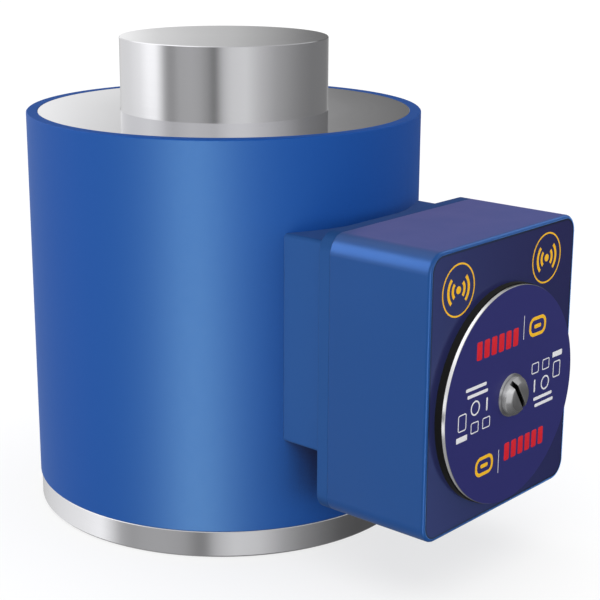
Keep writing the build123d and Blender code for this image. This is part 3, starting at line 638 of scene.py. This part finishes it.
def dress(finish, *pieces):
    """Puts a finish on pieces, given as objects or as names of the frame's nodes."""
    for piece in pieces:
        piece = nodes[piece] if isinstance(piece, str) else piece
        piece.data.materials.clear()
        piece.data.materials.append(finish)


cap_axis = (0.0, -1.0, 0.0)
cap_centre = (0.0, 0.0, cap_height)
film_corner, border_width = 5.85, 0.7       # millimetres, as the patterns are
column_steel = turned_metal("turned_stainless_steel", (0.0, 0.0, 1.0), (0.0, 0.0, 0.0), "#DADADD",
                            roughness=0.16, faced=0.09)
cap_metal = turned_metal("turned_aluminium", cap_axis, cap_centre, "#E0E0E2", roughness=0.2, faced=0.15)
# The screw's slot gets painted shade
screw_metal = turned_metal("turned_plated_screw", cap_axis, cap_centre, "#CCCCCE", roughness=0.24, faced=0.3,
                           anisotropy=0.3, hollow_shade_mm=2.4)
front_film = indigo_film("indigo_front_film", "#1F164C", (film_low, film_high, film_corner, border_width))

# Nitrile rubber, moulded: black and dull, with little gloss
rubber = plain_finish("black_nitrile_rubber", "#080809", metallic=0.0, roughness=0.6, per_mm=2.5,
                      depth_mm=0.02, Specular_IOR_Level=0.15)
# Steel, zinc plated: grey, with a soft gloss
plated_steel = plain_finish("plated_steel", "#B4B4B6", metallic=1.0, roughness=0.3, per_mm=3.0, depth_mm=0.01)
# Brass, turned: yellow, with a soft gloss
brass = plain_finish("turned_brass", "#C9A24A", metallic=1.0, roughness=0.3, per_mm=3.0, depth_mm=0.01)
# Glass epoxy, pressed and lacquered green: half gloss, with a faint relief
board = plain_finish("green_epoxy_board", "#1C5B38", metallic=0.0, roughness=0.35, per_mm=1.2, depth_mm=0.03)
# Steel sheet, tinned: pale and slightly clouded
tinned_can = plain_finish("tinned_can", "#BFBFC0", metallic=1.0, roughness=0.35, per_mm=1.5, depth_mm=0.01)
# Nylon, moulded: black, with a satin tooth
black_nylon = plain_finish("black_nylon", "#141415", metallic=0.0, roughness=0.45, per_mm=2.5, depth_mm=0.02)
# Plastic cable jacket, extruded: grey and half dull
jacket = plain_finish("grey_cable_jacket", "#5A5A5C", metallic=0.0, roughness=0.5, per_mm=2.0, depth_mm=0.02)
# Polyimide foil, etched: amber and almost smooth
foil = plain_finish("amber_gauge_foil", "#B07A2E", metallic=0.0, roughness=0.35, per_mm=2.0, depth_mm=0.005)
# Steel can in a printed sleeve: dark, with some of the metal's gloss
cell_sleeve = plain_finish("dark_cell_jacket", "#33353A", metallic=0.6, roughness=0.32, per_mm=0.8,
                           depth_mm=0.005)
# Spring steel, nickel plated: warm grey and bright
spring_steel = plain_finish("nickel_spring_steel", "#C6C3BB", metallic=1.0, roughness=0.25, per_mm=2.0,
                            depth_mm=0.005)

dress(column_steel, "load_element", "cover_ring")
dress(cap_metal, "battery_cap")
dress(screw_metal, cap_screw, "screw_washer", "retaining_ring")
# The sleeve carries painted shade under the block and housing
dress(blue_anodised("blue_anodised_sleeve", "#0A56B5", painted_shade_reach_mm=28.0), "outer_sleeve")
dress(blue_anodised("blue_anodised_block", "#1B5296"), "mounting_block")
dress(blue_anodised("blue_anodised_plate", "#144C8E"), "back_plate")
dress(blue_moulding(), "housing_body")
dress(front_film, "front_overlay")
dress(indigo_film("indigo_cap_film", "#333476"), "cap_label")
dress(print_ink("gold_ink", "#FDC01C"), *radio_symbols)
dress(print_ink("yellow_ink", "#FBC120"), yellow_print)
dress(print_ink("red_ink", "#DA1629"), red_print)
dress(print_ink("pale_ink", "#ECECF0"), pale_print)
dress(rubber, gasket, "base_oring", "cover_inner_oring", "cover_outer_oring", "screw_oring", "housing_gasket",
      "cable_bush")
dress(plated_steel, base_bolts, housing_bolts, "cover_screws", "block_screws", "plate_screws", "board_screws",
      "junction_screws", "pillar_nut")
dress(brass, "cap_pillar", "board_spacers")
dress(board, "main_board", "junction_board", "antenna_left", "antenna_right")
dress(tinned_can, "radio_module")
dress(black_nylon, "battery_carrier", "board_plug", "junction_plug")
dress(jacket, "signal_cable", "gauge_leads", "antenna_lead_left", "antenna_lead_right")
dress(foil, "strain_gauges")
dress(cell_sleeve, "battery_cell_1", "battery_cell_2", "battery_cell_3", "battery_cell_4")
dress(spring_steel, "contact_bridges", "cross_contact", "terminal_contacts")


# Camera, at the photograph's viewing angle. Its reach from the column and its height are in metres, its turns
# in radians.

camera_reach = 0.61573
camera_height = 0.25321
camera_turn = 0.8037
camera_pan, camera_tilt, camera_roll = 0.0507, 0.2724, -0.0057
sensor_width = 36.0
picture_width = 600.0
focal_pixels = 1510.28

camera_data = bpy.data.cameras.new("camera")
camera_data.sensor_width = sensor_width
camera_data.lens = focal_pixels / picture_width * sensor_width
camera_data.clip_start = 0.01
camera = bpy.data.objects.new("camera", camera_data)
bpy.context.scene.collection.objects.link(camera)
place = Vector((-camera_reach * np.sin(camera_turn), -camera_reach * np.cos(camera_turn), camera_height))
pan = Matrix.Rotation(-(camera_turn + camera_pan), 4, "Z")
tilt = Matrix.Rotation(pi / 2 - camera_tilt, 4, "X")
roll = Matrix.Rotation(-camera_roll, 4, "Z")
camera.matrix_world = Matrix.Translation(place) @ pan @ tilt @ roll
bpy.context.scene.camera = camera


# Studio: what the metal reflects is set by direction, as soft boxes and walls round the object.
# Each row of walls goes round the column, in degrees anticlockwise from +X, with its brightness there.

floor_walls = ((-150, 0.45), (-90, 0.2), (0, 0.12), (60, 0.3), (105, 0.4), (160, 0.45))
low_walls = ((-175, 0.48), (-163, 0.43), (-157, 0.31), (-153, 0.23), (-149, 0.30), (-145, 0.56), (-140, 0.72),
             (-132, 0.86), (-118, 0.78), (-102, 0.44), (-90, 0.28), (-76, 0.17), (-64, 0.10), (-50, 0.08),
             (20, 0.12), (40, 0.4), (80, 0.8), (104, 1.0), (125, 1.15), (141, 1.35), (149, 0.95), (156, 0.52),
             (164, 0.42), (172, 0.47))
rim_walls = ((-165, 0.45), (-153, 0.30), (-147, 0.24), (-141, 0.50), (-129, 0.76), (-113, 0.78), (-96, 0.52),
             (-78, 0.34), (-58, 0.22), (-26, 0.14), (16, 0.14), (45, 0.4), (71, 0.6), (99, 0.6), (119, 0.5),
             (134, 0.34), (150, 0.32), (166, 0.38))
middle_walls = ((-173, 0.50), (-162, 0.45), (-153, 0.33), (-148, 0.20), (-145, 0.21), (-141, 0.46),
                (-136, 0.66), (-129, 0.78), (-113, 0.84), (-96, 0.62), (-78, 0.45), (-58, 0.34), (-43, 0.27),
                (-26, 0.23), (16, 0.22), (45, 0.5), (71, 0.8), (99, 0.92), (119, 1.1), (134, 1.42),
                (144, 1.42), (150, 1.05), (156, 0.55), (161, 0.36), (166, 0.35), (174, 0.48))
upper_right = ((-173, 0.76), (-153, 0.70), (-147, 0.66), (-141, 0.74), (-129, 0.88), (-113, 0.88),
               (-96, 0.68), (-78, 0.52), (-43, 0.28), (16, 0.19))
upper_left = ((71, 0.95), (99, 0.92), (119, 0.95), (134, 1.0), (150, 0.88), (158, 0.7), (166, 0.64))
upper_edge = ((36, 0.10), (40.1, 0.135), (41.6, 0.31), (43.1, 0.51), (43.9, 0.57), (45.5, 0.64), (46.3, 0.71),
              (47, 0.84), (47.8, 1.02), (50, 1.05))
cover_edge = ((36, 0.15), (40, 0.31), (44, 0.55), (48.3, 0.75), (49.5, 0.86), (51.2, 1.05), (54, 1.1))
upper_walls = upper_right + upper_edge + upper_left
cover_walls = upper_right + cover_edge + upper_left
high_walls = ((-150, 1.0), (-120, 1.2), (-85, 1.2), (-55, 0.7), (-25, 0.3), (10, 0.16), (55, 0.16), (72, 0.9),
              (100, 1.0), (135, 1.0), (165, 0.9))
top_walls = ((-150, 0.75), (-90, 0.65), (0, 0.55), (52, 0.6), (72, 1.3), (100, 1.5), (135, 1.5), (160, 0.8))

# Rows above the floor's, with how far a ray looks up where one begins to show and where it has taken over
rows_of_walls = ((low_walls, -0.55, -0.45), (rim_walls, -0.35, -0.32), (middle_walls, -0.22, -0.16),
                 (upper_walls, 0.02, 0.06), (cover_walls, 0.12, 0.14), (high_walls, 0.16, 0.34),
                 (top_walls, 0.42, 0.54))
side_light = 1.75


def ring_of_walls(tree, share, stops):
    """Brightness by the direction round the column, blended from stop to stop and across 180 degrees."""
    ramp = add(tree, "ShaderNodeValToRGB", Fac=share)
    elements = ramp.color_ramp.elements
    elements.remove(elements[0])
    (first, first_level), (last, last_level) = stops[0], stops[-1]
    between = (first + 180) / (first + 360 - last)
    seam = first_level * (1 - between) + last_level * between
    elements[0].position = 0.0
    elements[0].color = (seam, seam, seam, 1)
    for degrees, level in stops:
        elements.new((degrees + 180) / 360).color = (level, level, level, 1)
    elements.new(1.0).color = (seam, seam, seam, 1)
    return ramp.outputs["Color"]


def studio_world():
    """White behind the object. Metal sees eight rows of soft boxes and walls, one above the other. Dull
    surfaces get a plain light that is stronger from the sides than from above."""
    white = (1.0, 1.0, 1.0, 1.0)
    world = bpy.data.worlds.new("studio")
    bpy.context.scene.world = world
    world.use_nodes = True
    tree = world.node_tree
    tree.nodes.clear()
    way = add(tree, "ShaderNodeTexCoord").outputs["Generated"]
    parts = add(tree, "ShaderNodeSeparateXYZ", i0=way).outputs
    turn = add(tree, "ShaderNodeMath", {"operation": "ARCTAN2"}, i0=parts["Y"], i1=parts["X"])
    share = spread(tree, turn.outputs[0], 0.0, 1.0, from_low=-pi, from_high=pi)
    seen = ring_of_walls(tree, share, floor_walls)
    for walls, begins, ends in rows_of_walls:
        rise = spread(tree, parts["Z"], 0.0, 1.0, begins, ends)
        row = ring_of_walls(tree, share, walls)
        seen = add(tree, "ShaderNodeMix", {"data_type": "RGBA"}, Factor=rise, i6=seen, i7=row).outputs[2]
    fill = spread(tree, parts["Z"], side_light, 0.0, from_low=0.0, from_high=1.0)

    ray = add(tree, "ShaderNodeLightPath").outputs
    dull = add(tree, "ShaderNodeBackground", {"Color": white}, Strength=fill)
    glossy = add(tree, "ShaderNodeBackground", {"Strength": 1.0}, Color=seen)
    behind = add(tree, "ShaderNodeBackground", {"Color": white, "Strength": 1.0})
    lit = add(tree, "ShaderNodeMixShader", i0=ray["Is Glossy Ray"], i1=dull.outputs[0], i2=glossy.outputs[0])
    last = add(tree, "ShaderNodeMixShader", i0=ray["Is Camera Ray"], i1=lit.outputs[0], i2=behind.outputs[0])
    add(tree, "ShaderNodeOutputWorld", Surface=last.outputs[0])


def pale_floor():
    """Plain white floor that fades to the background and keeps a soft shadow. From below it isn't seen."""
    size, drop = 6.0, 0.02 * MM
    white, pale, grey = [(level, level, level, 1.0) for level in (1.0, 0.85, 0.3)]
    glow_share = 0.7
    corner = np.array([[-1, -1], [1, -1], [1, 1], [-1, 1]]) * size / 2
    mesh = bpy.data.meshes.new("floor")
    mesh.from_pydata(np.column_stack([corner, np.full(4, -drop)]).tolist(), [], [(0, 1, 2, 3)])
    floor = bpy.data.objects.new("floor", mesh)
    bpy.context.scene.collection.objects.link(floor)
    finish = bpy.data.materials.new("white_floor")
    finish.use_nodes = True
    tree = finish.node_tree
    tree.nodes.clear()
    seen = add(tree, "ShaderNodeLightPath").outputs["Is Camera Ray"]
    colour = add(tree, "ShaderNodeMix", {"data_type": "RGBA", "i6": grey, "i7": pale}, Factor=seen)
    dull = add(tree, "ShaderNodeBsdfDiffuse", Color=colour.outputs[2])
    glow = add(tree, "ShaderNodeEmission", {"Color": white, "Strength": 1.0})
    share = add(tree, "ShaderNodeMath", {"operation": "MULTIPLY", "i1": glow_share}, i0=seen)
    both = add(tree, "ShaderNodeMixShader", i0=share.outputs[0], i1=dull.outputs[0], i2=glow.outputs[0])
    below = add(tree, "ShaderNodeNewGeometry").outputs["Backfacing"]
    clear = add(tree, "ShaderNodeBsdfTransparent")
    last = add(tree, "ShaderNodeMixShader", i0=below, i1=both.outputs[0], i2=clear.outputs[0])
    add(tree, "ShaderNodeOutputMaterial", Surface=last.outputs[0])
    mesh.materials.append(finish)
    floor.visible_glossy = False
    return floor


def gathered(name, pieces):
    """Collection of its own for the pieces that a lamp lights, or that stop its light."""
    collection = bpy.data.collections.new(name)
    for piece in pieces:
        collection.objects.link(piece)
    return collection


def sheen(name, pieces, around, degrees, rise, width, height, brightness, colour, reach=1.0, hiding=()):
    """Soft box seen only in the gloss of the pieces named: set by its direction from a point, its own size
    and its brightness. The floor doesn't hide it, so that it can stand where a face that looks down mirrors
    it."""
    data = bpy.data.lights.new(name, "AREA")
    data.shape = "RECTANGLE"
    data.size, data.size_y = width, height
    data.energy = brightness * pi * width * height
    data.color = linear(colour)[:3]
    lamp = bpy.data.objects.new(name, data)
    bpy.context.scene.collection.objects.link(lamp)
    turn, lift = radians(degrees), radians(rise)
    way = Vector((np.cos(turn) * np.cos(lift), np.sin(turn) * np.cos(lift), np.sin(lift)))
    place = Matrix.Translation(Vector(around) + way * reach)
    lamp.matrix_world = place @ way.to_track_quat("Z", "Y").to_matrix().to_4x4()
    lamp.light_linking.receiver_collection = gathered(name + "_lit", pieces)
    lamp.light_linking.blocker_collection = gathered(name + "_stopped", [*pieces, *hiding])
    lamp.visible_diffuse = False


def sun_lamp(name, strength, spread_angle, way, pieces):
    """Wide soft light from one direction that falls on the pieces named alone, its spread in radians."""
    data = bpy.data.lights.new(name, "SUN")
    data.energy = strength
    data.angle = spread_angle
    lamp = bpy.data.objects.new(name, data)
    bpy.context.scene.collection.objects.link(lamp)
    lamp.matrix_world = Vector(way).to_track_quat("Z", "Y").to_matrix().to_4x4()
    lamp.light_linking.receiver_collection = gathered(name + "_lit", pieces)


studio_world()
sleeve, block, plate, housing, film = (
    nodes[name] for name in ("outer_sleeve", "mounting_block", "back_plate", "housing_body", "front_overlay"))
box_middle = (0.0, -0.12, 0.07)
sun_lamp("floor_wash", strength=2.6, spread_angle=1.4, way=(0.0, 0.0, 1.0), pieces=[pale_floor()])
sheen("sleeve_sheen", [sleeve], around=(0, 0, 0.09), degrees=207, rise=-17, width=0.1, height=1.4,
      brightness=57.0, colour="#FFE29D", hiding=[housing, block, plate])
sheen("film_sheen", [film], around=(-0.04, -0.14, 0.07), degrees=-48, rise=-16, width=0.25, height=0.8,
      brightness=11.5, colour="#8CB4FF")
sheen("side_edge_sheen", [housing], box_middle, degrees=135, rise=26, width=0.6, height=0.8,
      brightness=9.0, colour="#7CB4FF")
sheen("block_sheen", [block, plate], box_middle, degrees=136, rise=-14, width=1.0, height=1.0,
      brightness=1.1, colour="#D0E4FF")
sheen("top_sheen", [housing, block, plate], around=(0, -0.12, 0.13), degrees=47, rise=18, width=1.8,
      height=0.8, brightness=0.34, colour="#DA95FF", reach=1.2)
sheen("front_edge_sheen", [housing], box_middle, degrees=237, rise=-20, width=0.35, height=1.2,
      brightness=10.0, colour="#8CC0FF")
sheen("top_edge_sheen", [housing], box_middle, degrees=-18, rise=36, width=0.5, height=0.5,
      brightness=4.0, colour="#8CC0FF")
sheen("right_edge_sheen", [housing], box_middle, degrees=-7, rise=-15, width=0.5, height=0.8,
      brightness=5.0, colour="#8CC0FF")
sun_lamp("print_light", strength=0.45, spread_angle=1.0, way=(-0.3, -1.0, 0.5),
         pieces=[*radio_symbols, red_print, yellow_print, pale_print])

# Only these are seen in the gloss of others, as the photographed button mirrors none of the blue pieces
mirrored = [nodes[name] for name in ("load_element", "battery_cap", "screw_washer")]
mirrored += [cap_screw, base_bolts, housing_bolts, gasket]
for piece in bpy.context.scene.objects:
    if piece.type == "MESH" and piece not in mirrored:
        piece.visible_glossy = False

bpy.context.scene.view_settings.view_transform = "Standard"
